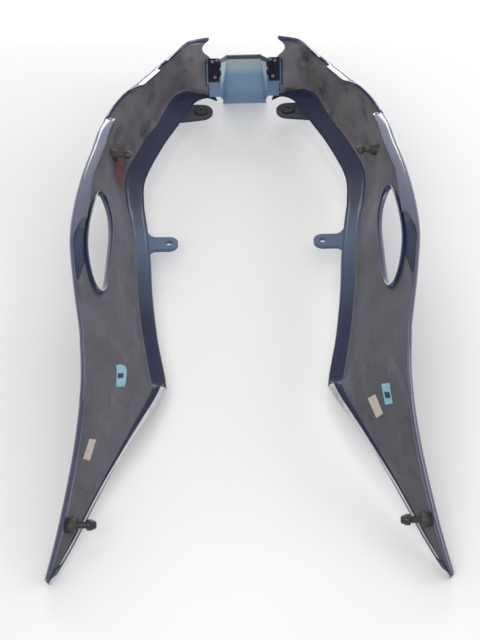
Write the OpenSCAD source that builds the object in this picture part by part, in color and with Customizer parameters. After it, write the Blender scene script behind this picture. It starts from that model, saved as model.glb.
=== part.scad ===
// Motorcycle tail fairing, lying upside down: the seat side faces the ground, and the folded
// lower rim of the two side cowls faces up. X is across, Y runs from the front tips to the
// tail, Z is up. The right cowl is modelled on +X and the left one is its mirror image.

/* [Overall] */
// Width across the two side cowls at their widest
cowl_width = 404; // [350:1:460]
// Length from the front tips to the ends of the tail horns
cowl_length = 868; // [760:1:980]
// Height of the folded rim over the ground beside the grip holes
rim_height = 117; // [100:1:140]
// Moulded wall of the side cowls
wall = 3; // [2:0.25:4]

/* [Grip hole] */
// Length of the grip hole along the cowl
grip_hole_l = 158; // [130:1:170]
// Width of the grip hole across the panel
grip_hole_w = 33; // [26:1:36]
// Height of the collar round the grip hole on the inside
collar_h = 5; // [2:0.5:8]
// Thickness of that collar
collar_t = 2.5; // [1.5:0.5:4]

/* [Tabs] */
// Thickness of the mounting tabs
tab_t = 5; // [3:0.5:6]
// Bore of the plain middle tabs
mid_bore_d = 8.5; // [6:0.5:10]
// Radius of the rounded end of the middle tabs
mid_tab_r = 11.5; // [9:0.5:14]
// Length along the flange of the middle tab's rear and front fillets
mid_fillet_rear = 20; // [12:1:26]
mid_fillet_front = 26; // [16:1:32]
// Bore of the rear tabs, which holds the grommet's waist
rear_bore_d = 14; // [12:0.5:16]
// Radius of the rounded end of the rear tabs
rear_tab_r = 16.5; // [13:0.5:20]

/* [Grommets and collars] */
// Outer diameter of the grommet's two flanges
grommet_d = 20; // [18:0.5:24]
// Thickness of each flange of the grommet
grommet_lip = 2.5; // [1.5:0.25:4]
// Bore of the steel collar
collar_bore_d = 6.6; // [5:0.1:8]
// Wall of the steel collar
collar_wall = 1.2; // [0.8:0.1:1.8]
// How far the collar stands out of the grommet at each end
collar_proud = 0.4; // [0.2:0.1:1]

/* [Locating pins] */
// Diameter of the moulded boss behind each pin
boss_d = 15; // [12:0.5:18]
// Length of the front bosses from the panel
front_boss_l = 9; // [6:0.5:16]
// Length of the middle bosses from the panel
mid_boss_l = 5; // [4:0.5:10]
// Diameter of the pin's stem in the boss
stem_d = 6; // [4:0.5:8]
// Length of the stem
stem_l = 4; // [3:0.5:6]
// Diameter of the pin's foot
foot_d = 12; // [10:0.5:14]
// Thickness of the foot
foot_t = 2; // [1:0.5:4]
// Diameter of the pin's neck
neck_d = 7; // [5:0.5:9]
// Length of the neck
neck_l = 8; // [5:0.5:12]
// Diameter of the pin's head
head_d = 11.4; // [9:0.2:14]
// Length of the head
head_l = 10; // [7:0.5:14]

/* [Centre bridge] */
// Wall of the centre bridge
bridge_t = 2.5; // [2:0.25:4]
// Half width of the bridge over its two wings
wing_x = 53; // [50:0.5:56]
// Half width of the channel between the wings
channel_x = 33; // [31:0.5:36]
// Half width of the channel's floor at its lower end
floor_low_x = 31.5; // [29:0.5:33]
// Half width of the channel's floor at its upper end
floor_high_x = 25; // [22:0.5:28]
// Length of each wing along the sloping tail wall
wing_l = 53; // [48:1:56]
// Thickness of the clamp plates on the wings
plate_t = 2; // [1.5:0.25:3]
// Length of the clamp plates along the wings
plate_l = 33; // [31:0.5:36]
// Diameter of the small screws in the clamp plates
screw_d = 3; // [2.5:0.25:4]
// Diameter of their heads
screw_head_d = 5.4; // [4.5:0.2:6.5]
// Height of their heads
screw_head_h = 2; // [1.5:0.25:3]
// Width of the spring clips
clip_w = 6; // [4:0.5:8]
// Thickness of the clips' strip
clip_t = 1; // [0.6:0.1:1.4]

/* [Fits] */
// Gap between pieces that are screwed or pressed together
seat_gap = 0.2; // [0.1:0.05:0.4]
// Clearance round screws, stems and collars, on the radius
hole_gap = 0.2; // [0.1:0.05:0.5]

/* [Hidden] */
$fn = 48;

// The cowls' rest on the ground: lift of the drawn outline, and the middle of its length
rest_lift = 1.3;
drawn_middle = 432.13;

// The outline's points are drawn for a cowl of these sizes, and follow the sizes above.
drawn_width = 404;
drawn_length = 868;
drawn_rim = 117;
draw_scale = [cowl_width / drawn_width, cowl_length / drawn_length, rim_height / drawn_rim];
function at(p) = [p.x * draw_scale.x, p.y * draw_scale.y, p.z * draw_scale.z];

// Free edge: up the slanted front edge to the corner, then along the seat flange to the tail.
EDGE = [
  [196, 0, 1], [175, 44.5, 8], [148.5, 108, 18], [119.5, 169, 24], [93.5, 232, 17], [91, 254, 13],
  [103, 320, 16.5], [112, 390, 19.5], [117, 450, 21.5], [124, 510, 23], [131, 560, 25],
  [131, 610, 26], [112, 676, 27], [95, 720, 27], [83, 750, 27], [74, 774, 27],
  [64, 788, 26], [52, 794, 25], [40, 789, 23]
];
// Crease where the seat flange meets the side panel.
CREASE = [
  [196.4, 0, 2.5], [177.3, 44.5, 11], [151.2, 109, 21.5], [126, 171, 27.5], [106.5, 234, 22.5],
  [108.5, 254, 20.5], [120.5, 320, 24.5], [130, 390, 29], [135, 450, 31.5], [144.5, 508, 34],
  [154, 558, 35], [156, 608, 36], [137.5, 676, 36], [120, 720, 36], [109, 760, 36],
  [100, 786, 35], [84, 801, 33], [66, 799, 30], [51, 794, 30]
];
// Fold at the top of the panel, where the rim's lip turns inward.
FOLD = [
  [197.5, 1, 7], [186, 48, 31], [174, 116, 64], [169.5, 180, 90], [174, 236, 102],
  [176.5, 254, 104.5], [188.5, 320, 110], [198.5, 390, 113.5], [199, 450, 114],
  [194.5, 510, 113], [187.5, 560, 111.5], [180.5, 612, 109.5], [162.5, 676, 104.5],
  [139.5, 724, 99], [116.5, 768, 94], [94.5, 810, 88.5], [82.5, 837, 84], [71, 851, 80.5],
  [43, 864, 76.5]
];
// Each list below pairs a station, counted along the three lists above, with a size in mm.
// Height of the turned edge of the flange
TURNED_EDGE = [[0, 1], [3.7, 1.5], [4.6, 5], [8, 5], [10, 2], [18, 2]];
// The step above the crease: how far out it goes, and how far up
STEP_OUT = [[0, 0.5], [5, 1.5], [7, 1.5], [8, 2], [9, 5.5], [10, 7], [11, 7], [12, 5], [18, 1]];
STEP_UP = [[0, 0.5], [5, 2], [7, 2], [8, 3.5], [9, 12], [10, 17], [11, 15], [12, 10], [18, 5]];
// How far the panel is bowed in between the step and the fold, or out where it is negative
BOW = [[0, 0], [2, -2], [4, -3], [6, 3], [7, 9], [8, 11], [9, 7], [10, 3], [12, 0], [14, 1],
  [15, 4], [16, 8], [18, 10]];
// Width of the rim's lip, with the two fin-shaped places where it is cut back
LIP = [[0, 3], [1, 5], [2.72, 5], [2.78, 2.5], [6.9, 3], [7.13, 5], [7.33, 9], [7.44, 12],
  [7.48, 17], [8.1, 17], [8.9, 13.5], [10.3, 15], [11.17, 14], [11.21, 3], [11.7, 2.5], [12, 3],
  [12.35, 3.5], [12.6, 8], [12.7, 13], [13.3, 12], [13.73, 11], [13.77, 5.5], [14.1, 4],
  [14.4, 4.5], [14.5, 9], [15.3, 5], [16.5, 1.5], [18, 1.5]];
// How high the lip's edge stands over the fold
lip_rise = 3;
// How deep the tail light's recess goes into the ends of the cowls
light_recess = 15;

last = len(FOLD) - 1;
// Stations of the loft: three to each span, and one at each end of the lip's steps
STEPS = [2.75, 7.48, 11.17, 11.21, 13.73, 13.77, 14.5];
function sorted(l) = len(l) < 2 ? l : let (p = l[floor(len(l) / 2)])
  concat(sorted([for (x = l) if (x < p) x]), [p], sorted([for (x = l) if (x > p) x]));
US = sorted(concat([for (i = [0:3 * last]) i / 3], STEPS));
// Places across the panel, from the step at 0 to the fold at 1
TS = [0, 0.14, 0.28, 0.42, 0.55, 0.68, 0.81, 0.93, 1];

function unit(v) = v / max(norm(v), 1e-9);
function mix(a, b, f) = a * (1 - f) + b * f;
function spline(a, b, c, d, f) =
  b + 0.5 * f * (c - a + f * (2 * a - 5 * b + 4 * c - d + f * (3 * (b - c) + d - a)));
function along(l, u) = let (i = min(floor(u), len(l) - 2))
  spline(l[max(i - 1, 0)], l[i], l[i + 1], l[min(i + 2, len(l) - 1)], u - i);
function outward(u) = let (d = along(FOLD, u) - along(CREASE, u)) unit([d.x, d.y, 0]);

// A point on the inner face of the side panel
function panel(u, t) =
  let (out = outward(u), foot = along(CREASE, u) + out * lookup(u, STEP_OUT)
         + [0, 0, lookup(u, STEP_UP)])
  at(mix(foot, along(FOLD, u), t) - out * lookup(u, BOW) * sin(180 * pow(t, 1.3))
     + [light_recess * max(u - last + 1, 0) * exp(-pow(abs(t - 0.885) / 0.12, 3)), 0, 0]);
function panel_normal(u, t) = let (h = 0.05, k = 0.02)
  unit(cross(panel(min(u + h, last), t) - panel(max(u - h, 0), t),
             panel(u, min(t + k, 1)) - panel(u, max(t - k, 0))));

// One section of the cowl's inner face, from the free edge to the edge of the rim's lip
function section(u) =
  let (out = outward(u), edge = along(EDGE, u), w = lookup(u, LIP), top = panel(u, 1))
  concat(
    [at(edge), at(edge + out * 1.2 + [0, 0, lookup(u, TURNED_EDGE)]), at(along(CREASE, u))],
    [for (t = TS) panel(u, t)],
    [top - out * min(2, w / 2) + [0, 0, lip_rise * 0.85], top - out * w + [0, 0, lip_rise]]
  );
fold_index = 2 + len(TS);
INNER = [for (u = US) section(u)];
rows = len(US) - 1;
columns = len(INNER[0]) - 1;
// Wall direction at a point of the grid, from its neighbours
function grid_normal(i, j) =
  let (k = min(j, fold_index), e = INNER[min(i + 1, rows)][k] - INNER[max(i - 1, 0)][k],
       c = INNER[i][min(j + 1, columns)] - INNER[i][max(j - 1, 0)])
  unit(cross(e, c));
OUTER = [for (i = [0:rows]) [for (j = [0:columns]) INNER[i][j] + wall * grid_normal(i, j)]];

// The grip hole: a patch of the grid is replaced by rings that close onto a long oval.
hole_from = search(6, US)[0];
hole_to = search(9, US)[0];
hole_low = 3 + 3;
hole_high = 3 + 7;
hole_u = 7.44;
hole_t = 0.7;
station_l = norm(panel(8, hole_t) - panel(7, hole_t));
panel_w = norm(panel(hole_u, hole_t + 0.1) - panel(hole_u, hole_t - 0.1)) / 0.2;
oval_power = 2.3;
PATCH = concat(
  [for (i = [hole_from:hole_to - 1]) [i, hole_low]],
  [for (j = [hole_low:hole_high - 1]) [hole_to, j]],
  [for (i = [hole_to:-1:hole_from + 1]) [i, hole_high]],
  [for (j = [hole_high:-1:hole_low + 1]) [hole_from, j]]
);
function oval(g, grow) =
  let (a = (grip_hole_l / 2 + grow) / station_l, b = (grip_hole_w / 2 + grow) / panel_w,
       x = (US[g.x] - hole_u) / a, y = (TS[g.y - 3] - hole_t) / b,
       r = pow(pow(abs(x), oval_power) + pow(abs(y), oval_power), -1 / oval_power))
  [hole_u + x * r * a, hole_t + y * r * b];
function on_oval(g, grow, depth) = let (q = oval(g, grow))
  panel(q.x, q.y) + depth * panel_normal(q.x, q.y);

module cowl_shell() {
  grid = (rows + 1) * (columns + 1);
  n = len(PATCH);
  function in_at(i, j) = i * (columns + 1) + j;
  function out_at(i, j) = grid + in_at(i, j);
  function open(i, j) = i >= hole_from && i < hole_to && j >= hole_low && j < hole_high;
  collar = 2 * grid;
  points = concat(
    [for (r = INNER) each r], [for (r = OUTER) each r],
    [for (g = PATCH) on_oval(g, collar_t, 0)],
    [for (g = PATCH) on_oval(g, collar_t, -collar_h)],
    [for (g = PATCH) on_oval(g, 0, -collar_h)],
    [for (g = PATCH) on_oval(g, 0, wall)]
  );
  function quad(a, b, c, d) = [[a, b, c], [a, c, d]];
  skin = [for (i = [0:rows - 1]) for (j = [0:columns - 1]) if (!open(i, j)) each concat(
    quad(in_at(i, j), in_at(i + 1, j), in_at(i + 1, j + 1), in_at(i, j + 1)),
    quad(out_at(i, j), out_at(i, j + 1), out_at(i + 1, j + 1), out_at(i + 1, j)))];
  edges = concat(
    [for (i = [0:rows - 1]) each concat(
      quad(in_at(i, 0), out_at(i, 0), out_at(i + 1, 0), in_at(i + 1, 0)),
      quad(in_at(i, columns), in_at(i + 1, columns), out_at(i + 1, columns), out_at(i, columns)))],
    [for (j = [0:columns - 1]) each concat(
      quad(in_at(0, j), in_at(0, j + 1), out_at(0, j + 1), out_at(0, j)),
      quad(in_at(rows, j), out_at(rows, j), out_at(rows, j + 1), in_at(rows, j + 1)))]);
  rim = [for (k = [0:n - 1])
    let (m = (k + 1) % n, p = PATCH[k], q = PATCH[m]) each concat(
      quad(in_at(p.x, p.y), in_at(q.x, q.y), collar + m, collar + k),
      quad(out_at(p.x, p.y), collar + 3 * n + k, collar + 3 * n + m, out_at(q.x, q.y)))];
  sleeve = [for (l = [0:2]) for (k = [0:n - 1]) let (m = (k + 1) % n)
    each quad(collar + l * n + k, collar + l * n + m,
              collar + (l + 1) * n + m, collar + (l + 1) * n + k)];
  polyhedron(points, concat(skin, edges, rim, sleeve));
}

// Mounting tabs. Each lies level with the flange and grows out of its free edge.
// How far a tab's underside lies below the middle of the flange's edge
tab_drop = 0.6;
mid_hole = at([96, 482, 0]);
rear_hole = at([61, 758, 0]);
function level(u) = at(along(EDGE, u)).z + 2 - tab_drop - tab_t;
mid_z = level(8.5);
rear_z = level(14.5) - 0.2;
function flange_point(u, inset) = let (p = at(along(EDGE, u)) + outward(u) * inset) [p.x, p.y];
module rear_tab() {
  translate([0, 0, rear_z]) linear_extrude(tab_t) hull() {
    translate([rear_hole.x, rear_hole.y]) circle(rear_tab_r);
    polygon([flange_point(13.5, 1.3), flange_point(15, 1.3), flange_point(14.25, 2.1)]);
  }
}
// The middle tab is an arm that flares into the flange with a fillet on each side.
fillet_reach = 13;
module mid_tab() {
  root_x = at(along(EDGE, 8.5)).x - 8.5;
  function flare(sign, l) = [for (a = [0:15:90])
    [root_x + fillet_reach * sin(a), mid_hole.y + sign * (mid_tab_r + l * (1 - cos(a)))]];
  rear_side = flare(1, mid_fillet_rear);
  front_side = flare(-1, mid_fillet_front);
  translate([mid_hole.x, mid_hole.y, mid_z]) cylinder(r = mid_tab_r, h = tab_t);
  translate([0, 0, mid_z]) linear_extrude(tab_t) polygon(concat(
    [[mid_hole.x, mid_hole.y + mid_tab_r]], rear_side,
    [for (i = [len(front_side) - 1:-1:0]) front_side[i]], [[mid_hole.x, mid_hole.y - mid_tab_r]]
  ));
}
module bore(hole, d, z) {
  translate([hole.x, hole.y, z - 1]) cylinder(d = d, h = tab_t + 2);
}

// The two pins stand level on the inner face of each panel.
mid_pin_u = 10.85;
mid_pin_t = 0.36;
front_pin_u = 1.12;
front_pin_t = 0.5;
module on_panel(u, t) {
  translate(panel(u, t)) rotate([0, -90, 0]) children();
}
module boss(u, t, l) {
  n = panel_normal(u, t);
  behind = boss_d * 0.6;
  difference() {
    on_panel(u, t) translate([0, 0, -behind]) cylinder(d = boss_d, h = l + behind);
    translate(panel(u, t) + n * wall * 0.6) rotate([0, acos(n.z), atan2(n.y, n.x)])
      translate([-boss_d, -boss_d, 0]) cube(2 * boss_d);
  }
}
module stem_hole(u, t, l) {
  on_panel(u, t) translate([0, 0, l - stem_l - 0.5])
    cylinder(d = stem_d + 2 * hole_gap, h = stem_l + 1);
}
module pin() {
  total = foot_t + neck_l + head_l;
  rotate_extrude() polygon([
    [0, -stem_l], [stem_d / 2, -stem_l], [stem_d / 2, 0], [foot_d / 2, 0], [foot_d / 2, foot_t],
    [neck_d / 2, foot_t], [neck_d / 2, foot_t + neck_l], [head_d / 2, foot_t + neck_l + 0.5],
    [head_d / 2, foot_t + neck_l + head_l * 0.45], [head_d * 0.33, total - 0.8],
    [head_d * 0.27, total], [0, total]
  ]);
}
module seated_pin(u, t, l) {
  color("#17171a") on_panel(u, t) translate([0, 0, l]) pin();
}

// The sloping tail wall, which the cowls' tongues, the bridge's wings and the plates share.
// In its frame X is across, Z runs up the wall and -Y faces the inside.
wall_foot = at([0, 793, 30]);
wall_top = at([0, 829, 70]);
wall_lean = atan2(wall_top.y - wall_foot.y, wall_top.z - wall_foot.z);
end_x = at([51, 0, 0]).x;
tongue_x = channel_x + 2.2;
module on_wall() {
  translate(wall_foot) rotate([-wall_lean, 0, 0]) children();
}
wing_face = -seat_gap - bridge_t;
plate_face = wing_face - seat_gap - plate_t;
plate_foot = 19;
plate_inset = 2;
SCREWS = [[wing_x - 8.6, plate_l - 5], [wing_x - 12, 6], [channel_x + 4.8, plate_l - 3]];
module screw_places() {
  on_wall() for (s = SCREWS) translate([s.x, 0, plate_foot + s.y]) rotate([-90, 0, 0]) children();
}
module screw_holes() {
  screw_places() translate([0, 0, -12]) cylinder(d = screw_d + 2 * hole_gap, h = 20);
}

module right_cowl() {
  difference() {
    union() {
      cowl_shell();
      mid_tab();
      rear_tab();
      boss(mid_pin_u, mid_pin_t, mid_boss_l);
      boss(front_pin_u, front_pin_t, front_boss_l);
      on_wall() translate([tongue_x, 0, 4]) cube([end_x + 4 - tongue_x, wall, wing_l - 6]);
    }
    bore(mid_hole, mid_bore_d, mid_z);
    bore(rear_hole, rear_bore_d, rear_z);
    stem_hole(mid_pin_u, mid_pin_t, mid_boss_l);
    stem_hole(front_pin_u, front_pin_t, front_boss_l);
    screw_holes();
  }
}
module right_side_cowl() { color("#1c2433") right_cowl(); }
module left_side_cowl() { color("#1c2433") mirror([1, 0, 0]) right_cowl(); }

// The bridge: a tapered channel with a sloping wing on each side.
floor_y = at([0, 818, 0]).y;
floor_top = wall_top + [0, 4, 0];
module channel_floor() {
  top_z = floor_top.z;
  intersection() {
    rotate([90, 0, 90]) translate([0, 0, -wing_x]) linear_extrude(2 * wing_x) polygon([
      [floor_y, -rest_lift], [mix(floor_y, floor_top.y, 0.86), top_z * 0.86], [floor_top.y, top_z],
      [floor_top.y + bridge_t, top_z], [mix(floor_y, floor_top.y, 0.86) + bridge_t, top_z * 0.84],
      [floor_y + bridge_t, -rest_lift]
    ]);
    translate([0, floor_y - 40, 0]) rotate([-90, 0, 0]) linear_extrude(100) polygon([
      [-floor_low_x, rest_lift], [floor_low_x, rest_lift],
      [floor_high_x, -top_z], [-floor_high_x, -top_z]
    ]);
  }
}
module channel_side() {
  inset = 0.4;
  bar = bridge_t - 2 * inset;
  hull() {
    on_wall() translate([channel_x + inset, wing_face + inset, -2 + inset])
      cube([bar, bar, wing_l - 2 * inset]);
    translate([floor_low_x - 2 * bar, floor_y + inset, 2]) cube([bar, bar, 1]);
    translate([floor_high_x - bar, floor_top.y + inset, floor_top.z - 1.5]) cube([bar, bar, 1]);
  }
}
// The lower outer corner of each wing is cut back, clear of the cowl's end.
wing_corner = [3.6, 19];
module wing() {
  difference() {
    on_wall() translate([channel_x, wing_face, -2]) cube([wing_x - channel_x, bridge_t, wing_l]);
    on_wall() translate([wing_x - wing_corner.x, wing_face - 1, -3])
      cube([wing_corner.x + 1, bridge_t + 2, wing_corner.y]);
    screw_holes();
  }
}
module centre_bridge() {
  color("#3f6a86") {
    channel_floor();
    for (side = [0, 1]) mirror([side, 0, 0]) {
      wing();
      channel_side();
    }
  }
}

// Clamp plates on the wings, with three screws and two spring clips each
module clamp_plate() {
  color("#23222b") difference() {
    on_wall() translate([channel_x + plate_inset, plate_face, plate_foot])
      cube([wing_x - channel_x - 2 * plate_inset, plate_t, plate_l]);
    screw_holes();
  }
}
module right_clamp_plate() { clamp_plate(); }
module left_clamp_plate() { mirror([1, 0, 0]) clamp_plate(); }
module screw() {
  shank = -plate_face + wall + 1;
  translate([0, 0, plate_face - screw_head_h]) cylinder(d = screw_head_d, h = screw_head_h);
  translate([0, 0, plate_face]) cylinder(d = screw_d, h = shank);
}
module plate_screws() {
  color("silver") for (side = [0, 1]) mirror([side, 0, 0]) screw_places() screw();
}
clip_z = [plate_foot + 8.5, plate_foot + 20];
module clip() {
  reach = 7;
  linear_extrude(clip_w) polygon([
    [plate_inset + 1, plate_face], [-1.5, plate_face], [-3, plate_face - 2],
    [-3, plate_face - 4], [-1.5, plate_face - 5], [reach - 1, plate_face - 5],
    [reach - 1, plate_face - 5 + clip_t], [-1, plate_face - 5 + clip_t],
    [-3 + clip_t, plate_face - 4 + 0.4], [-3 + clip_t, plate_face - 2 - 0.3],
    [-1, plate_face - clip_t], [plate_inset + 1, plate_face - clip_t]
  ]);
}
module spring_clips() {
  color("#111114") for (side = [0, 1]) mirror([side, 0, 0])
    on_wall() for (z = clip_z) translate([channel_x + plate_inset, 0, z]) clip();
}

// Rubber grommet and steel collar in each rear tab
sleeve_r = collar_bore_d / 2 + collar_wall;
module grommet() {
  face = grommet_lip + tab_t / 2 + seat_gap;
  upper = [
    [sleeve_r + hole_gap, face], [grommet_d / 2 - 1, face], [grommet_d / 2, face - 1],
    [grommet_d / 2, tab_t / 2 + seat_gap], [rear_bore_d / 2 - hole_gap, tab_t / 2 + seat_gap]
  ];
  color("#0f0f11") translate([rear_hole.x, rear_hole.y, rear_z + tab_t / 2]) rotate_extrude()
    polygon(concat(upper, [for (i = [len(upper) - 1:-1:0]) [upper[i].x, -upper[i].y]]));
}
module right_grommet() { grommet(); }
module left_grommet() { mirror([1, 0, 0]) grommet(); }
module steel_collar() {
  half = grommet_lip + tab_t / 2 + seat_gap + collar_proud;
  color("#8b8d90") translate([rear_hole.x, rear_hole.y, rear_z + tab_t / 2 - half])
    difference() {
      cylinder(r = sleeve_r, h = 2 * half);
      translate([0, 0, -1]) cylinder(d = collar_bore_d, h = 2 * half + 2);
    }
}
module right_collar() { steel_collar(); }
module left_collar() { mirror([1, 0, 0]) steel_collar(); }

module right_mid_pin() { seated_pin(mid_pin_u, mid_pin_t, mid_boss_l); }
module left_mid_pin() { mirror([1, 0, 0]) right_mid_pin(); }
module right_front_pin() { seated_pin(front_pin_u, front_pin_t, front_boss_l); }
module left_front_pin() { mirror([1, 0, 0]) right_front_pin(); }

// The origin is under the middle of the fairing, on the ground.
module placed() { translate([0, -drawn_middle * draw_scale.y, rest_lift]) children(); }

placed() left_side_cowl();
placed() right_side_cowl();
placed() centre_bridge();
placed() left_clamp_plate();
placed() right_clamp_plate();
placed() plate_screws();
placed() spring_clips();
placed() left_grommet();
placed() right_grommet();
placed() left_collar();
placed() right_collar();
placed() left_mid_pin();
placed() right_mid_pin();
placed() left_front_pin();
placed() right_front_pin();
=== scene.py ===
# Motorcycle tail fairing, lying upside down on a white table: a horseshoe of two dark blue
# side cowls joined by a light blue bridge, seen from above with its inside showing.
import math

import bmesh
import bpy
import numpy as np
from mathutils import Matrix, Vector, geometry
from mathutils.bvhtree import BVHTree


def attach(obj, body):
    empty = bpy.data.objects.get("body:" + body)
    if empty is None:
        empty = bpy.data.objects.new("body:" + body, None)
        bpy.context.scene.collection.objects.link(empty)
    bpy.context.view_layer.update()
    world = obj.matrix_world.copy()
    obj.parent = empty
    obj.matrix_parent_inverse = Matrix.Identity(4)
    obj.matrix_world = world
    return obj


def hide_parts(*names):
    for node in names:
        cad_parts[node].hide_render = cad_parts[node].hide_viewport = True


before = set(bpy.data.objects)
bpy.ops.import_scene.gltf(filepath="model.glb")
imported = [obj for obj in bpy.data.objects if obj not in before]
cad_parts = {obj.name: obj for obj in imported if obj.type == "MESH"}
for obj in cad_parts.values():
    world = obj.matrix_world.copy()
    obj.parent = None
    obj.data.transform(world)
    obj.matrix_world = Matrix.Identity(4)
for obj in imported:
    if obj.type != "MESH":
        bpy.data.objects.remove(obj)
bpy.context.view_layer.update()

scene = bpy.context.scene
scene.view_settings.view_transform = "Standard"


# ---- Camera: at the photograph's viewing angle, worked out from its perspective.
# It looks 44.5 degrees down from in front of the tips, turned a little to the left and rolled.
look_down, roll, yaw = math.radians(44.5), math.radians(2.002), math.radians(-1.254)
ahead = Vector((math.sin(yaw) * math.cos(look_down), math.cos(yaw) * math.cos(look_down),
                -math.sin(look_down)))
level_right = Vector((math.cos(yaw), -math.sin(yaw), 0))
level_up = level_right.cross(ahead)
right = level_right * math.cos(roll) - level_up * math.sin(roll)
up = level_up * math.cos(roll) + level_right * math.sin(roll)
camera_data = bpy.data.cameras.new("photo_view")
camera_data.sensor_width = 36
camera_data.lens = 36 * 1223 / 640
camera_data.clip_start, camera_data.clip_end = 0.05, 50
camera = bpy.data.objects.new("photo_view", camera_data)
turn = Matrix((right, up, -ahead)).transposed().to_4x4()
camera.matrix_world = Matrix.Translation((0.01477, -1.10713, 1.0248)) @ turn
scene.collection.objects.link(camera)
scene.camera = camera


# ---- Floor, world and lamps: a pale glossy table under soft light.
# A wide low lamp behind the tail is what the folded rims mirror as white bands.
def feed(tree, socket, value):
    if isinstance(value, bpy.types.NodeSocket):
        tree.links.new(value, socket)
    elif isinstance(value, tuple) and len(socket.default_value) == 4:
        socket.default_value = (*value, 1)
    else:
        socket.default_value = value


def add_node(tree, kind, inputs=(), **settings):
    made = tree.nodes.new("ShaderNode" + kind)
    for name, value in settings.items():
        setattr(made, name, value)
    for key, value in dict(inputs).items():
        feed(tree, made.inputs[key], value)
    return made


def new_group(name, inputs, outputs):
    group = bpy.data.node_groups.new(name, "ShaderNodeTree")
    for label, kind, value in inputs:
        socket = group.interface.new_socket(name=label, in_out="INPUT",
                                            socket_type="NodeSocket" + kind)
        socket.default_value = value
    for label, kind in outputs:
        group.interface.new_socket(name=label, in_out="OUTPUT", socket_type="NodeSocket" + kind)
    return group, group.nodes.new("NodeGroupInput").outputs, group.nodes.new("NodeGroupOutput")


# Patches: one colour lies over another in soft-edged, noisy places.
patches, taken, given = new_group(
    "patches",
    (("Under", "Color", (0.1, 0.1, 0.1, 1)), ("Over", "Color", (0.2, 0.2, 0.2, 1)),
     ("Amount", "Float", 1.0), ("Scale", "Float", 10.0), ("From", "Float", 0.35),
     ("To", "Float", 0.7), ("Stretch", "Vector", (1, 1, 1))),
    (("Color", "Color"),))
place = add_node(patches, "TexCoord").outputs["Object"]
stretched = add_node(patches, "VectorMath", {0: place, 1: taken["Stretch"]}, operation="MULTIPLY")
noise = add_node(patches, "TexNoise", {"Vector": stretched.outputs[0], "Scale": taken["Scale"],
                                       "Detail": 5.0, "Roughness": 0.6})
cover = add_node(patches, "MapRange", {"Value": noise.outputs["Fac"], "From Min": taken["From"],
                                       "From Max": taken["To"]})
share = add_node(patches, "Math", {0: cover.outputs["Result"], 1: taken["Amount"]},
                 operation="MULTIPLY", use_clamp=True)
blend = add_node(patches, "Mix", {0: share.outputs[0], 6: taken["Under"], 7: taken["Over"]},
                 data_type="RGBA")
patches.links.new(blend.outputs[2], given.inputs["Color"])

# Fine grain: the small roughness of a moulded, cast or painted face.
fine_grain, taken, given = new_group(
    "fine_grain", (("Scale", "Float", 900.0), ("Depth", "Float", 0.00005)),
    (("Normal", "Vector"),))
place = add_node(fine_grain, "TexCoord").outputs["Object"]
noise = add_node(fine_grain, "TexNoise", {"Vector": place, "Scale": taken["Scale"], "Detail": 3.0})
bump = add_node(fine_grain, "Bump", {"Strength": 0.6, "Distance": taken["Depth"],
                                     "Height": noise.outputs["Fac"]})
fine_grain.links.new(bump.outputs["Normal"], given.inputs["Normal"])


def patched(tree, under, over, scale, low, high, amount=1.0, stretch=(1, 1, 1)):
    made = add_node(tree, "Group", node_tree=patches)
    for name, value in (("Under", under), ("Over", over), ("Amount", amount), ("Scale", scale),
                        ("From", low), ("To", high), ("Stretch", stretch)):
        feed(tree, made.inputs[name], value)
    return made.outputs["Color"]


def finish_of(name, dark, light, roughness, drift=14.0, grain=None, over=(), **sockets):
    material = bpy.data.materials.new(name)
    material.use_nodes = True
    tree = material.node_tree
    shader = tree.nodes["Principled BSDF"]
    shader.inputs["Roughness"].default_value = roughness
    for socket, value in sockets.items():
        shader.inputs[socket.replace("_", " ")].default_value = value
    tone = patched(tree, dark, light, drift, 0.35, 0.7)
    for layer in over:
        tone = patched(tree, tone, *layer)
    tree.links.new(tone, shader.inputs["Base Color"])
    if grain:
        made = add_node(tree, "Group", node_tree=fine_grain)
        made.inputs["Scale"].default_value, made.inputs["Depth"].default_value = grain
        tree.links.new(made.outputs["Normal"], shader.inputs["Normal"])
    return material


floor_mesh = bpy.data.meshes.new("table_top")
floor_form = bmesh.new()
bmesh.ops.create_grid(floor_form, x_segments=1, y_segments=1, size=6)
floor_form.to_mesh(floor_mesh)
floor_form.free()
floor = bpy.data.objects.new("table_top", floor_mesh)
floor_mesh.materials.append(finish_of("white_table", (0.91, 0.91, 0.912), (0.885, 0.885, 0.888),
                                      0.1, 2.0, Specular_IOR_Level=0.4))
scene.collection.objects.link(floor)

world = bpy.data.worlds.new("studio")
world.use_nodes = True
scene.world = world
sky = world.node_tree
sky.nodes["Background"].inputs["Color"].default_value = (1, 1, 1, 1)
rays = add_node(sky, "LightPath").outputs
seen = add_node(sky, "Math", {0: rays["Is Camera Ray"], 1: rays["Is Glossy Ray"]},
                operation="MAXIMUM")
clear = add_node(sky, "Math", {0: seen.outputs[0], 1: rays["Is Transmission Ray"]},
                 operation="MAXIMUM")
level = add_node(sky, "MapRange", {"Value": clear.outputs[0], "To Min": 0.74, "To Max": 0.75})
sky.links.new(level.outputs["Result"], sky.nodes["Background"].inputs["Strength"])


def area_lamp(name, place, target, size, power):
    data = bpy.data.lights.new(name, "AREA")
    data.shape = "RECTANGLE"
    data.size, data.size_y = size
    data.energy = power
    lamp = bpy.data.objects.new(name, data)
    lamp.location = place
    lamp.rotation_euler = (Vector(target) - Vector(place)).to_track_quat("-Z", "Y").to_euler()
    lamp.visible_camera = False
    scene.collection.objects.link(lamp)


area_lamp("back_softbox", (0, 4.5, 1.65), (0, 0.1, 0.05), (4.6, 1.1), 110)
area_lamp("front_fill", (-0.6, -1.6, 1.7), (0, 0, 0), (1.6, 1.2), 11)
area_lamp("side_window", (1.7, 0.1, 0.9), (0, 0, 0.05), (0.9, 0.8), 7)


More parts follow.
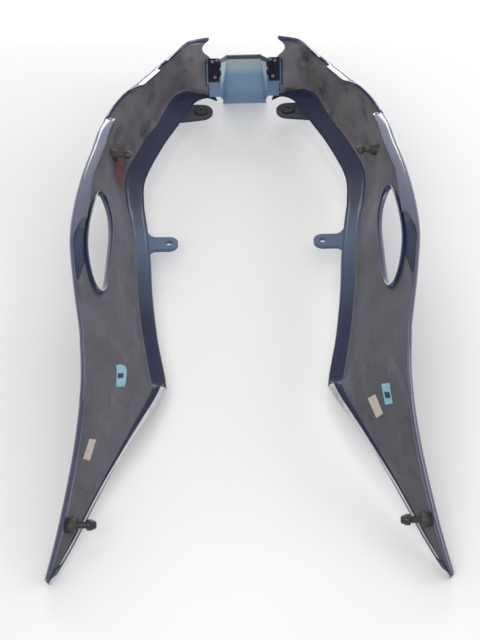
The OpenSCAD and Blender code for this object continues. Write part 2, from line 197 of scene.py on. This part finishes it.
# ---- Side cowls: each is one lofted moulding through nineteen stations from tip to tail.
# The free edge, the crease and the fold are curves in millimetres from the front tips.
EDGE = np.array([
    [196, 0, 1], [175, 44.5, 8], [148.5, 108, 18], [119.5, 169, 24], [93.5, 232, 17],
    [91, 254, 13], [103, 320, 16.5], [112, 390, 19.5], [117, 450, 21.5], [124, 510, 23],
    [131, 560, 25], [131, 610, 26], [112, 676, 27], [95, 720, 27], [83, 750, 27],
    [74, 774, 27], [64, 788, 26], [52, 794, 25], [40, 789, 23]], float)
CREASE = np.array([
    [196.4, 0, 2.5], [177.3, 44.5, 11], [151.2, 109, 21.5], [126, 171, 27.5], [106.5, 234, 22.5],
    [108.5, 254, 20.5], [120.5, 320, 24.5], [130, 390, 29], [135, 450, 31.5], [144.5, 508, 34],
    [154, 558, 35], [156, 608, 36], [137.5, 676, 36], [120, 720, 36], [109, 760, 36],
    [100, 786, 35], [84, 801, 33], [66, 799, 30], [51, 794, 30]], float)
FOLD = np.array([
    [197.5, 1, 7], [186, 48, 31], [174, 116, 64], [169.5, 180, 90], [174, 236, 102],
    [176.5, 254, 104.5], [188.5, 320, 110], [198.5, 390, 113.5], [199, 450, 114],
    [194.5, 510, 113], [187.5, 560, 111.5], [180.5, 612, 109.5], [162.5, 676, 104.5],
    [139.5, 724, 99], [116.5, 768, 94], [94.5, 810, 88.5], [82.5, 837, 84], [71, 851, 80.5],
    [43, 864, 76.5]], float)
TURNED_EDGE = [[0, 1], [3.7, 1.5], [4.6, 5], [8, 5], [10, 2], [18, 2]]
STEP_OUT = [[0, 0.5], [5, 1.5], [7, 1.5], [8, 2], [9, 5.5], [10, 7], [11, 7], [12, 5], [18, 1]]
STEP_UP = [[0, 0.5], [5, 2], [7, 2], [8, 3.5], [9, 12], [10, 17], [11, 15], [12, 10], [18, 5]]
BOW = [[0, 0], [2, -2], [4, -3], [6, 3], [7, 9], [8, 11], [9, 7], [10, 3], [12, 0], [14, 1],
       [15, 4], [16, 8], [18, 10]]
LIP = [[0, 3], [1, 5], [2.72, 5], [2.78, 2.5], [6.9, 3], [7.13, 5], [7.33, 9], [7.44, 12],
       [7.48, 17], [8.1, 17], [8.9, 13.5], [10.3, 15], [11.17, 14], [11.21, 3], [11.7, 2.5],
       [12, 3], [12.35, 3.5], [12.6, 8], [12.7, 13], [13.3, 12], [13.73, 11], [13.77, 5.5],
       [14.1, 4], [14.4, 4.5], [14.5, 9], [15.3, 5], [16.5, 1.5], [18, 1.5]]
WALL, LIP_RISE, LIGHT_RECESS, LAST = 3.0, 3.0, 15.0, 18
MIDDLE, LIFT = 432.13, 1.3


def lookup(u, pairs):
    table = np.array(pairs, float)
    return np.interp(u, table[:, 0], table[:, 1])[..., None]


def eased(u, pairs):
    """The same without kinks, averaged over half a station each way."""
    return np.mean([lookup(u + shift, pairs) for shift in np.linspace(-0.5, 0.5, 11)], 0)


def along(curve, u):
    i = np.clip(np.floor(u).astype(int), 0, LAST - 1)
    f = (u - i)[..., None]
    a, b = curve[np.maximum(i - 1, 0)], curve[i]
    c, d = curve[i + 1], curve[np.minimum(i + 2, LAST)]
    return b + 0.5 * f * (c - a + f * (2 * a - 5 * b + 4 * c - d + f * (3 * (b - c) + d - a)))


def unit(v):
    return v / np.maximum(np.linalg.norm(v, axis=-1, keepdims=True), 1e-9)


def outward(u):
    return unit((along(FOLD, u) - along(CREASE, u)) * [1, 1, 0])


def panel(u, t):
    foot = along(CREASE, u) + outward(u) * eased(u, STEP_OUT) + eased(u, STEP_UP) * [0, 0, 1]
    p = foot + (along(FOLD, u) - foot) * t
    p = p - outward(u) * eased(u, BOW) * math.sin(math.pi * t ** 1.3)
    hook = LIGHT_RECESS * np.maximum(u - LAST + 1, 0) * math.exp(-(abs(t - 0.885) / 0.12) ** 3)
    return p + hook[..., None] * [1, 0, 0]


def placed(points, side):
    return (np.asarray(points) * [side, 1, 1] + [0, -MIDDLE, LIFT]) / 1000


def step_between(a, b, fractions):
    return [a + (b - a) * f for f in fractions]


# The profile at each station, from the free edge over the flange, the step and the panel to
# the lip. The front edge carries a shallow groove, and with the pale painted highlight on the edge it
# shows as a double bright line.
stations = sorted({round(i / 10, 4) for i in range(10 * LAST + 1)}
                  | {2.72, 2.78, 7.44, 7.48, 11.17, 11.21, 12.65, 13.73, 13.77, 14.45})
us = np.array(stations)
ts = np.arange(37) / 36
out = outward(us)
upward = np.array([0, 0, 1.0])
edge_line = along(EDGE, us)
turned_line = edge_line + out * 1.2 + lookup(us, TURNED_EDGE) * upward
crease_line = along(CREASE, us)
top_line = panel(us, 1)
lip_w = lookup(us, LIP)
lip_mid = top_line - out * np.minimum(2, lip_w / 2) + LIP_RISE * 0.85 * upward
lip_end = top_line - out * lip_w + LIP_RISE * upward
groove = (np.clip((4.4 - us) / 0.3, 0, 1) * np.clip(us / 0.6, 0, 1))[:, None] * upward
flange = step_between(turned_line, crease_line, np.arange(8) / 8)
flange = [line + groove * depth for line, depth in zip(flange, (0.3, 1, 0.6, -1.4, -1.4, 0.4, 0.8, 0))]
columns = step_between(edge_line, turned_line, [0, 0.5]) + flange
crease_column = len(columns)
columns += step_between(crease_line, panel(us, 0), [0, 1 / 3, 2 / 3])
foot_column = len(columns)
columns += [panel(us, t) for t in ts]
fold_column = len(columns) - 1
columns += step_between(top_line, lip_mid, [0.5, 1])
columns += step_between(lip_mid, lip_end, [0.25, 0.5, 0.75, 1])
inner = np.stack(columns, 1)
for _ in range(2):
    inner[:, 1:-1] = inner[:, 1:-1] / 2 + (inner[:, :-2] + inner[:, 2:]) / 4
# The panel runs smoothly past the front corner of the flange.
near_corner = np.clip(1.2 - np.abs(us[1:-1] - 4.8) / 1.8, 0, 1)[:, None, None] / 2
low, high = foot_column + 1, fold_column - 1
for _ in range(200):
    even = (inner[:-2, low:high] + inner[2:, low:high] + inner[1:-1, low - 1:high - 1]
            + inner[1:-1, low + 1:high + 1]) / 4
    inner[1:-1, low:high] += (even - inner[1:-1, low:high]) * near_corner
# A shallow scoop runs from the middle boss to the grip hole, with a crease along its edge.
scoop_edge = np.interp(us, [8.6, 9.5, 10.6, 10.9], [0.56, 0.5, 0.42, 0.4])[:, None]
scoop = (np.clip((ts[None, :] - scoop_edge) / 0.03, 0, 1) * np.clip((0.97 - ts) / 0.2, 0, 1)
         * (np.clip((us - 8.2) / 0.5, 0, 1) * np.clip((11.5 - us) / 0.7, 0, 1))[:, None])
inner[:, foot_column:fold_column + 1] += 1.6 * scoop[..., None] * out[:, None]


def on_inside(u, t):
    """Points of the panel's inner face, as it is after the smoothing."""
    i = np.interp(u, us, np.arange(len(us)))
    j = foot_column + np.asarray(t) * (len(ts) - 1)
    i0 = np.clip(np.floor(i).astype(int), 0, len(us) - 2)
    j0 = np.clip(np.floor(j).astype(int), foot_column, fold_column - 1)
    f, g = (i - i0)[..., None], (j - j0)[..., None]
    return ((inner[i0, j0] * (1 - f) + inner[i0 + 1, j0] * f) * (1 - g)
            + (inner[i0, j0 + 1] * (1 - f) + inner[i0 + 1, j0 + 1] * f) * g)


def out_of_panel(u, t):
    u, t = np.asarray(u, float), np.asarray(t, float)
    run = on_inside(u + 0.08, t) - on_inside(u - 0.08, t)
    rise = on_inside(u, np.minimum(t + 0.03, 1)) - on_inside(u, np.maximum(t - 0.03, 0))
    return unit(np.cross(run, rise))


# The grip hole is a long oval, 158 x 33 mm.
def span(a, b):
    return np.linalg.norm(on_inside(*a) - on_inside(*b))


hole_u, hole_t = np.array(7.44), 0.7
station_l = span((hole_u + 0.5, hole_t), (hole_u - 0.5, hole_t))
panel_w = span((hole_u, 0.8), (hole_u, 0.6)) / 0.2


def grip_oval(u, t, grow):
    along_r, across_r = (79 + grow) / station_l, (16.5 + grow) / panel_w
    x, y = (u - hole_u) / along_r, (t - hole_t) / across_r
    r = (np.abs(x) ** 2.3 + np.abs(y) ** 2.3) ** (-1 / 2.3)
    return hole_u + x * r * along_r, hole_t + y * r * across_r


def new_form():
    form = bmesh.new()
    return form, form.verts.layers.float.new("station"), form.verts.layers.float.new("across")


def next_ring(form, rim, station, across, spot_of):
    """Extrudes a loop of edges and moves it to where spot_of puts each vertex."""
    made = bmesh.ops.extrude_edge_only(form, edges=rim)["geom"]
    fresh = [g for g in made if isinstance(g, bmesh.types.BMVert)]
    spots = spot_of(np.array([v[station] for v in fresh]), np.array([v[across] for v in fresh]))
    for vertex, spot in zip(fresh, spots):
        vertex.co = spot
    loop = set(fresh)
    return [g for g in made if isinstance(g, bmesh.types.BMEdge) and loop.issuperset(g.verts)]


def finished_piece(form, name, materials, node):
    mesh = bpy.data.meshes.new(name)
    for face in form.faces:
        face.smooth = True
    form.to_mesh(mesh)
    form.free()
    for material in materials:
        mesh.materials.append(material)
    piece = bpy.data.objects.new(name, mesh)
    scene.collection.objects.link(piece)
    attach(piece, "root")
    if node:
        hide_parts(node)
    return piece


def thicken(piece, thickness, **settings):
    solid = piece.modifiers.new("wall", "SOLIDIFY")
    solid.thickness = thickness
    solid.offset = -1
    for name, value in settings.items():
        setattr(solid, name, value)


def soften(piece, width, segments=2, angle=38):
    soft = piece.modifiers.new("soft_edges", "BEVEL")
    soft.width = width
    soft.segments = segments
    soft.limit_method = "ANGLE"
    soft.angle_limit = math.radians(angle)
    return soft


surfaces = {}


def cowl_shell(word, side, materials):
    form, station, across = new_form()
    rows, cols = inner.shape[:2]
    bmesh.ops.create_grid(form, x_segments=rows - 1, y_segments=cols - 1, size=0.5)
    patch = []
    for face in form.faces:
        middle = face.calc_center_median()
        i, j = int((middle.x + 0.5) * (rows - 1)), int((middle.y + 0.5) * (cols - 1))
        if 6 < us[i] < 7.44 and j >= fold_column - 2:
            face.material_index = 1
        elif j >= fold_column - 1:
            face.material_index = 3
        elif j >= crease_column:
            face.material_index = 2
        else:
            face.material_index = 0 if us[i] < 4.5 and j < 5 else 1
        if 6 < us[i] + 0.01 < 9 and foot_column + 15 <= j < foot_column + 34:
            patch.append(face)
    points = placed(inner, side)
    for vertex in form.verts:
        i = round((vertex.co.x + 0.5) * (rows - 1))
        j = round((vertex.co.y + 0.5) * (cols - 1))
        vertex[station], vertex[across] = us[i], (j - foot_column) / (len(ts) - 1)
        vertex.co = points[i, j]
    bmesh.ops.delete(form, geom=patch, context="FACES")
    rim = [e for e in form.edges if e.is_boundary
           and all(5.9 < v[station] < 9.1 and 0.3 < v[across] < 0.96 for v in e.verts)]
    for share in (0.25, 0.34, 0.5, 0.76, 1):
        def towards_oval(u, t):
            ou, ot = grip_oval(u, t, 1.2)
            reach = share if share == 1 else 0.28
            return placed(on_inside(u + (ou - u) * reach, t + (ot - t) * reach), side)
        rim = next_ring(form, rim, station, across, towards_oval)
        for vertex in {v for e in rim for v in e.verts}:
            ou, ot = grip_oval(vertex[station], vertex[across], 1.2)
            reach = share if share == 1 else 0.28
            vertex[station] += (float(ou) - vertex[station]) * reach
            vertex[across] += (float(ot) - vertex[across]) * reach
    if side > 0:
        bmesh.ops.reverse_faces(form, faces=form.faces[:])
    surfaces[side] = BVHTree.FromBMesh(form)
    shell = finished_piece(form, word + "_cowl_shell", materials, word + "_side_cowl")
    thicken(shell, WALL / 1000, material_offset=3, material_offset_rim=3)
    soften(shell, 0.0011, 3, 60)


def grip_collar(word, side, material):
    form, station, across = new_form()
    bmesh.ops.create_circle(form, segments=144, radius=1)
    for vertex in form.verts:
        vertex[station] = hole_u + vertex.co.x * 79 / station_l
        vertex[across] = hole_t + vertex.co.y * 16.5 / panel_w
    profile = [(3.1, 0.3), (2.6, -0.9), (2.4, -4.3), (1.9, -5), (0.6, -5), (0, -4.3),
               (0, WALL - 0.6), (0.5, WALL), (1.6, WALL), (1.9, WALL - 0.6)]
    rim = first = form.edges[:]
    for k, (grow, depth) in enumerate(profile):
        def on_profile(u, t):
            ou, ot = grip_oval(u, t, grow)
            return placed(on_inside(ou, ot) + out_of_panel(ou, ot) * depth, side)
        if k:
            rim = next_ring(form, rim, station, across, on_profile)
        else:
            spots = on_profile(np.array([v[station] for v in form.verts]),
                               np.array([v[across] for v in form.verts]))
            for vertex, spot in zip(form.verts, spots):
                vertex.co = spot
    bmesh.ops.bridge_loops(form, edges=first + rim)
    bmesh.ops.recalc_face_normals(form, faces=form.faces[:])
    finished_piece(form, word + "_grip_collar", [material], word + "_side_cowl")


# Dark blue clear-coated paint, with fine metal flake and a faint drift of tone.
def paint(name, dark, light, roughness=0.38, metallic=0.25, over=(), **sockets):
    flake = tuple(min(1, c * 2.2 + 0.01) for c in light)
    return finish_of(name, dark, light, roughness, 9.0,
                     over=((flake, 2600.0, 0.5, 0.8), *over),
                     **{"Metallic": metallic, "Coat_Weight": 1.0, "Coat_Roughness": 0.05,
                        **sockets})


navy = paint("navy_paint", (0.016, 0.02, 0.064), (0.028, 0.034, 0.095))
flange_navy = paint("flange_paint", (0.012, 0.015, 0.042), (0.022, 0.027, 0.064), 0.42, 0.0,
                    over=(((0.06, 0.062, 0.075), 60.0, 0.62, 0.8, 0.5, (1, 0.3, 1)),),
                    Coat_Weight=0.3, Coat_IOR=1.3, Specular_IOR_Level=0.12)
# The front edge strip's pale grey is a painted highlight, the white that the glossy edge mirrors.
painted_edge_highlight = paint("edge_painted_highlight", (0.42, 0.41, 0.44), (0.64, 0.62, 0.66), 0.3, 0.0,
                   over=(((0.05, 0.054, 0.09), 45.0, 0.55, 0.7, 0.5, (1, 0.4, 1)),))
tab_blue = paint("mid_tab_paint", (0.055, 0.09, 0.155), (0.08, 0.125, 0.2), 0.35, 0.0,
                 Coat_Weight=0.4, Coat_IOR=1.3, Specular_IOR_Level=0.25)
tab_navy = paint("rear_tab_paint", (0.022, 0.026, 0.044), (0.036, 0.041, 0.064), 0.35, 0.0,
                 Coat_Weight=0.4, Coat_IOR=1.3, Specular_IOR_Level=0.25)

# Unpainted inside: satin dark grey moulded plastic. It is rubbed, and dusty towards the tail,
# with dried dirt, a red smear under the left pin and faint round moulding marks.
inside = finish_of("cowl_inside", (0.07, 0.07, 0.087), (0.106, 0.105, 0.127), 0.5,
                   grain=(900.0, 0.00008),
                   over=(((0.15, 0.146, 0.165), 60.0, 0.55, 0.8, 1.0, (1, 0.22, 1)),
                         ((0.045, 0.045, 0.058), 90.0, 0.56, 0.8, 0.7, (1, 0.4, 1))))
tree = inside.node_tree
inside_shader = tree.nodes["Principled BSDF"]
tone = inside_shader.inputs["Base Color"].links[0].from_socket
spot = add_node(tree, "TexCoord").outputs["Object"]
split = add_node(tree, "SeparateXYZ", {0: spot}).outputs


def ramp_over(value, low, high, tree=tree):
    return add_node(tree, "MapRange", {"Value": value, "From Min": low, "From Max": high}
                    ).outputs["Result"]


def both(a, b, tree=tree):
    return add_node(tree, "Math", {0: a, 1: b}, operation="MULTIPLY").outputs[0]


def streak_place(a, b, width):
    a, b = Vector(a), Vector(b)
    local = add_node(tree, "Mapping", {
        "Vector": spot, "Location": tuple((a + b) / 2),
        "Rotation": tuple((b - a).to_track_quat("X", "Z").to_euler()),
        "Scale": ((b - a).length * 0.6, width, width)}, vector_type="TEXTURE")
    far = add_node(tree, "VectorMath", {0: local.outputs[0]}, operation="LENGTH")
    return ramp_over(far.outputs["Value"], 1.0, 0.35)


def ring_place(u, t, side, radius):
    centre = tuple(placed(on_inside(np.array(u), np.array(t)), side))
    far = add_node(tree, "VectorMath", {0: spot, 1: centre}, operation="DISTANCE")
    off = add_node(tree, "Math", {0: far.outputs["Value"], 1: radius}, operation="SUBTRACT")
    size = add_node(tree, "Math", {0: off.outputs[0]}, operation="ABSOLUTE")
    return both(ramp_over(size.outputs[0], 0.0008, 0.0002), 0.45)


def left_spot(u, t):
    return placed(on_inside(np.array(u), np.array(t)), -1)


rear = ramp_over(split["Y"], 0.06, 0.2)
tone = patched(tree, tone, (0.15, 0.138, 0.15), 26.0, 0.3, 0.62, both(rear, 0.85))
tone = patched(tree, tone, (0.17, 0.15, 0.11), 34.0, 0.54, 0.72, both(rear, 0.6), (1, 0.5, 1))
tone = patched(tree, tone, (0.3, 0.27, 0.22), 520.0, 0.56, 0.66,
               both(both(rear, ramp_over(split["X"], 0.0, 0.08)), 0.75))
tone = patched(tree, tone, (0.03, 0.027, 0.034), 38.0, 0.54, 0.66, both(rear, 0.9), (1, 0.35, 1))
tone = patched(tree, tone, (0.02, 0.02, 0.026), 150.0, 0.62, 0.72, 0.45, (1, 0.15, 0.6))
tone = patched(tree, tone, (0.022, 0.018, 0.024), 60.0, 0.25, 0.55,
               streak_place(left_spot(11.8, 0.22), left_spot(9.8, 0.08), 0.032))
tone = patched(tree, tone, (0.2, 0.028, 0.042), 230.0, 0.4, 0.54,
               streak_place(left_spot(11.4, 0.15), left_spot(10.0, -0.02), 0.013))
for u, t, side in ((3.294, 0.403, -1), (1.837, 0.31, -1), (2.3, 0.34, 1)):
    tone = patched(tree, tone, (0.03, 0.03, 0.036), 70.0, 0.5, 0.56,
                   ring_place(u, t, side, 0.0105))
tree.links.new(tone, inside_shader.inputs["Base Color"])

# Beside the middle tabs the flange is a lighter, clearer blue: a painted reflection.
tree = flange_navy.node_tree
flange_shader = tree.nodes["Principled BSDF"]
blue = flange_shader.inputs["Base Color"].links[0].from_socket
far_y = add_node(tree, "SeparateXYZ", {0: add_node(tree, "TexCoord").outputs["Object"]}).outputs["Y"]
reflection_beside_tabs = both(ramp_over(far_y, -0.09, 0.03, tree), ramp_over(far_y, 0.11, 0.06, tree), tree)
blue = patched(tree, blue, (0.065, 0.105, 0.17), 16.0, 0.15, 0.5, both(reflection_beside_tabs, 0.9, tree))
tree.links.new(blue, flange_shader.inputs["Base Color"])

for side, word in ((1, "right"), (-1, "left")):
    cowl_shell(word, side, [painted_edge_highlight, flange_navy, inside, navy])
    grip_collar(word, side, navy)


# ---- Mounting tabs: two plain middle arms that flare into the flange, and two wider rear
# ones that hold the grommets. Each is a 5 mm plate moulded with the cowl, its edges softened.
TAB_T, MID_HOLE, REAR_HOLE = 5.0, (96, 482), (61, 758)


def tab_level(u):
    return float(along(EDGE, np.array(u))[2]) + 2 - 0.6 - TAB_T


def arc(centre, radius, start, end, count):
    return [(centre[0] + radius * math.cos(math.radians(a)),
             centre[1] + radius * math.sin(math.radians(a)))
            for a in np.linspace(start, end, count)]


def flare(sign, length):
    root_x = float(along(EDGE, np.array(8.5))[0]) - 8.5
    return [(root_x + 13 * math.sin(a), MID_HOLE[1] + sign * (11.5 + length * (1 - math.cos(a))))
            for a in np.radians(np.linspace(0, 90, 13))]


def flange_spot(u, inset):
    p = along(EDGE, np.array(u)) + outward(np.array(u)) * inset
    return float(p[0]), float(p[1])


def tab_piece(name, material, outline, hole, bore_r, z, side):
    form = bmesh.new()
    for loop in (outline, arc(hole, bore_r, 0, 360, 49)[:-1]):
        spots = [form.verts.new(placed((x, y, z), side)) for x, y in loop]
        for a, b in zip(spots, spots[1:] + spots[:1]):
            form.edges.new((a, b))
    bmesh.ops.triangle_fill(form, use_beauty=True, edges=form.edges[:])
    lid = bmesh.ops.extrude_face_region(form, geom=form.faces[:])["geom"]
    bmesh.ops.translate(form, verts=[g for g in lid if isinstance(g, bmesh.types.BMVert)],
                        vec=(0, 0, TAB_T / 1000))
    bmesh.ops.recalc_face_normals(form, faces=form.faces[:])
    piece = finished_piece(form, name, [material],
                           ("right" if side > 0 else "left") + "_side_cowl")
    piece.data.set_sharp_from_angle(angle=math.radians(38))
    soften(piece, 0.0008, 3)


mid_outline = (flare(1, 20) + flare(-1, 26)[::-1] + arc(MID_HOLE, 11.5, 270, 90, 25))
rear_points = arc(REAR_HOLE, 16.5, 0, 360, 73)[:-1] + [
    flange_spot(13.5, 1.3), flange_spot(15.0, 1.3), flange_spot(14.25, 2.1)]
rear_outline = [rear_points[i] for i in geometry.convex_hull_2d(rear_points)]
for side, word in ((1, "right"), (-1, "left")):
    tab_piece(word + "_mid_tab", tab_blue, mid_outline, MID_HOLE, 4.25, tab_level(8.5), side)
    tab_piece(word + "_rear_tab", tab_navy, rear_outline, REAR_HOLE, 7,
              tab_level(14.5) - 0.2, side)


# ---- Bosses on the inner face, one behind each locating pin, with a fillet at the panel.
# They are moulded with the cowl and run level towards the middle, as the pins do.
boss_dark = finish_of("boss_dark", (0.03, 0.027, 0.03), (0.055, 0.05, 0.05), 0.45,
                      grain=(600.0, 0.00006))
for side, word in ((1, "right"), (-1, "left")):
    for label, u, t, length, root_r in (("mid", 10.85, 0.36, 5, 9.5), ("front", 1.12, 0.5, 9, 7.8)):
        root = panel(np.array(u), t)
        away = out_of_panel(u, t)
        form = bmesh.new()
        outline = [(9, 0), (9, root_r), (1, root_r * 0.9), (-1.5, 7.6), (1 - length, 7.5), (-length, 6.7),
                   (-length, 3.2), (4.3 - length, 3.2), (4.3 - length, 0)]
        spots = [form.verts.new(placed(root + [x, r, 0], side)) for x, r in outline]
        for a, b in zip(spots, spots[1:]):
            form.edges.new((a, b))
        bmesh.ops.spin(form, geom=form.verts[:] + form.edges[:], cent=placed(root, side),
                       axis=(1, 0, 0), angle=2 * math.pi, steps=48, use_merge=True)
        bmesh.ops.remove_doubles(form, verts=form.verts[:], dist=1e-6)
        bmesh.ops.recalc_face_normals(form, faces=form.faces[:])
        whole = form.verts[:] + form.edges[:] + form.faces[:]
        bmesh.ops.bisect_plane(form, geom=whole, plane_co=placed(root + away * WALL * 0.5, side),
                               plane_no=Vector(away * [side, 1, 1]), clear_outer=True)
        bmesh.ops.holes_fill(form, edges=[e for e in form.edges if e.is_boundary], sides=0)
        boss = finished_piece(form, f"{word}_{label}_boss", [boss_dark], word + "_side_cowl")
        boss.data.set_sharp_from_angle(angle=math.radians(50))


# ---- Tongues: a flat arm of each cowl lies behind the bridge's wing and takes its screws.
# It runs up the sloping tail wall, and shows past the wing's lower corner.
wall_foot, wall_top = np.array([0, 793, 30.0]), np.array([0, 829, 70.0])
up_wall = unit(wall_top - wall_foot)
behind_wall = np.array([0, up_wall[2], -up_wall[1]])
for side, word in ((1, "right"), (-1, "left")):
    form = bmesh.new()
    bmesh.ops.create_cube(form, size=1)
    for vertex in form.verts:
        x, y, z = vertex.co + Vector((0.5, 0.5, 0.5))
        vertex.co = placed(wall_foot + [35.2 + 19.8 * x, 0, 0] + behind_wall * (WALL * y)
                           + up_wall * (4 + 47 * z), side)
    bmesh.ops.recalc_face_normals(form, faces=form.faces[:])
    tongue = finished_piece(form, word + "_tongue", [flange_navy], word + "_side_cowl")
    tongue.data.set_sharp_from_angle(angle=math.radians(38))
    soften(tongue, 0.0006)


# ---- Hardware and bridge carried over from the solids, merged, with their edges softened.
# Pins and clips are black, screws bright, collars dull steel, grommets rubber.
def dressed(node, material, bevel, sharp=38):
    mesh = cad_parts[node].data.copy()
    form = bmesh.new()
    form.from_mesh(mesh)
    bmesh.ops.remove_doubles(form, verts=form.verts, dist=1e-6)
    bmesh.ops.dissolve_limit(form, angle_limit=math.radians(1), verts=form.verts, edges=form.edges)
    for face in form.faces:
        face.smooth = True
        face.material_index = 0
    form.to_mesh(mesh)
    form.free()
    mesh.materials.clear()
    mesh.materials.append(material)
    mesh.set_sharp_from_angle(angle=math.radians(sharp))
    piece = bpy.data.objects.new(node + "_dressed", mesh)
    scene.collection.objects.link(piece)
    if bevel:
        soften(piece, bevel, 2, sharp).harden_normals = True
    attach(piece, "root")
    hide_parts(node)


# The bridge's light blue paint carries painted reflections: paler and greenish high in the channel,
# and dark along its top edge. A painted shade makes it a little greyer near the ground, and it is a
# deeper blue on the wings.
bridge_blue_with_reflections = paint("bridge_paint", (0.14, 0.25, 0.4), (0.2, 0.33, 0.5), 0.35, 0.0,
                    over=(((0.2, 0.21, 0.22), 70.0, 0.62, 0.8, 0.5, (1, 1, 0.3)),),
                    Coat_Weight=0.5, Coat_IOR=1.3)
tree = bridge_blue_with_reflections.node_tree
bridge_shader = tree.nodes["Principled BSDF"]
blue = bridge_shader.inputs["Base Color"].links[0].from_socket
spot = add_node(tree, "TexCoord").outputs["Object"]
split = add_node(tree, "SeparateXYZ", {0: spot}).outputs
height = split["Z"]
beyond = add_node(tree, "Math", {0: split["X"]}, operation="ABSOLUTE").outputs[0]
# Height bands of painted reflection and painted shade, and a deeper blue past the channel's edges.
for shade, where, low, high, amount in (((0.1, 0.135, 0.2), height, 0.022, 0.012, 0.35),
                                        ((0.38, 0.47, 0.5), height, 0.043, 0.053, 0.85),
                                        ((0.058, 0.14, 0.25), beyond, 0.0322, 0.0332, 0.95),
                                        ((0.035, 0.042, 0.075), height, 0.0655, 0.0665, 1.0)):
    strength = both(ramp_over(where, low, high, tree), amount, tree)
    mix = add_node(tree, "Mix", {0: strength, 6: blue, 7: shade}, data_type="RGBA")
    blue = mix.outputs[2]
tree.links.new(blue, bridge_shader.inputs["Base Color"])

plate_navy = finish_of("plate_navy", (0.01, 0.01, 0.022), (0.017, 0.017, 0.034), 0.5,
                       grain=(1500.0, 0.00004), Specular_IOR_Level=0.12)
pin_black = finish_of("pin_black", (0.014, 0.013, 0.015), (0.028, 0.026, 0.029), 0.3,
                      grain=(500.0, 0.00005), over=(((0.09, 0.085, 0.09), 160.0, 0.6, 0.75, 0.5),))
dusty_pin = finish_of("pin_dusty", (0.03, 0.028, 0.031), (0.055, 0.052, 0.056), 0.5,
                      grain=(500.0, 0.00007), over=(((0.14, 0.13, 0.13), 160.0, 0.45, 0.66, 0.7),))
clip_black = finish_of("clip_black", (0.004, 0.004, 0.006), (0.009, 0.009, 0.011), 0.35,
                       Specular_IOR_Level=0.15)
rubber = finish_of("grommet_rubber", (0.02, 0.019, 0.02), (0.032, 0.03, 0.032), 0.55,
                   grain=(700.0, 0.00008), over=(((0.1, 0.095, 0.1), 200.0, 0.6, 0.8, 0.4),))
screw_steel = finish_of("screw_steel", (0.08, 0.08, 0.095), (0.14, 0.14, 0.16), 0.38, 60.0,
                        grain=(1200.0, 0.00003), Metallic=1.0)
collar_steel = finish_of("collar_steel", (0.16, 0.14, 0.13), (0.26, 0.24, 0.23), 0.42, 90.0,
                         grain=(900.0, 0.00003), Metallic=1.0)
dressed("centre_bridge", bridge_blue_with_reflections, 0.0008)
for word in ("left", "right"):
    dressed(word + "_clamp_plate", plate_navy, 0.0005)
    dressed(word + "_grommet", rubber, 0.0004)
    dressed(word + "_collar", collar_steel, 0.0002)
    dressed(word + "_mid_pin", dusty_pin, 0.0004)
    dressed(word + "_front_pin", pin_black, 0.0004)
dressed("plate_screws", screw_steel, 0.0005)
dressed("spring_clips", clip_black, 0.0002)


# ---- Labels: two strips of blue tape, each with a plain dark bar, and two cream paper slips.
# They are stuck to the inner face of the panels and follow it, where the camera sees them.
eye = camera.matrix_world.translation


def label_piece(name, corners, side, material, lift=0.35, thickness=0.3):
    form = bmesh.new()
    bmesh.ops.create_grid(form, x_segments=12, y_segments=8, size=0.5)
    a, b = np.array([v.co[:2] for v in form.verts]).T + 0.5
    shares = np.stack([(1 - a) * (1 - b), a * (1 - b), a * b, (1 - a) * b], 1)
    u, t = (shares @ np.array(corners)).T
    for vertex, aim in zip(form.verts, [placed(panel(np.array(x), y), side) for x, y in zip(u, t)]):
        ray = (Vector(aim) - eye).normalized()
        hit, normal = surfaces[side].ray_cast(eye, ray)[:2]
        vertex.co = hit - normal * math.copysign(lift / 1000, normal.dot(ray))
    form.normal_update()
    form.faces.ensure_lookup_table()
    middle = form.faces[len(form.faces) // 2]
    if middle.normal.dot(middle.calc_center_median() - eye) > 0:
        bmesh.ops.reverse_faces(form, faces=form.faces[:])
    piece = finished_piece(form, name, [material], None)
    thicken(piece, thickness / 1000)


def paper(name, dark, light, roughness):
    return finish_of(name, dark, light, roughness, 240.0, grain=(400.0, 0.0001))


tape_blue = paper("tape_blue", (0.2, 0.4, 0.5), (0.28, 0.5, 0.6), 0.5)
cream_paper = paper("cream_paper", (0.44, 0.39, 0.35), (0.58, 0.52, 0.47), 0.7)
tape_ink = paper("tape_ink", (0.02, 0.03, 0.05), (0.035, 0.045, 0.07), 0.6)
label_piece("left_tape", ((4.054, 0.475), (4.586, 0.368), (3.668, 0.299), (3.546, 0.408)), -1,
            tape_blue)
label_piece("left_tape_bar", ((3.86, 0.432), (3.97, 0.368), (3.84, 0.353), (3.74, 0.42)), -1,
            tape_ink, 0.45, 0.08)
label_piece("left_slip", ((2.376, 0.629), (2.459, 0.474), (2.105, 0.461), (2.033, 0.667)), -1,
            cream_paper)
label_piece("right_slip", ((3.408, 0.203), (3.369, 0.324), (2.96, 0.33), (2.991, 0.2)), 1,
            cream_paper)
label_piece("right_tape", ((3.453, 0.453), (3.345, 0.577), (2.969, 0.542), (3.063, 0.41)), 1,
            tape_blue)
label_piece("right_tape_bar", ((3.28, 0.46), (3.2, 0.54), (3.09, 0.53), (3.16, 0.45)), 1,
            tape_ink, 0.45, 0.08)
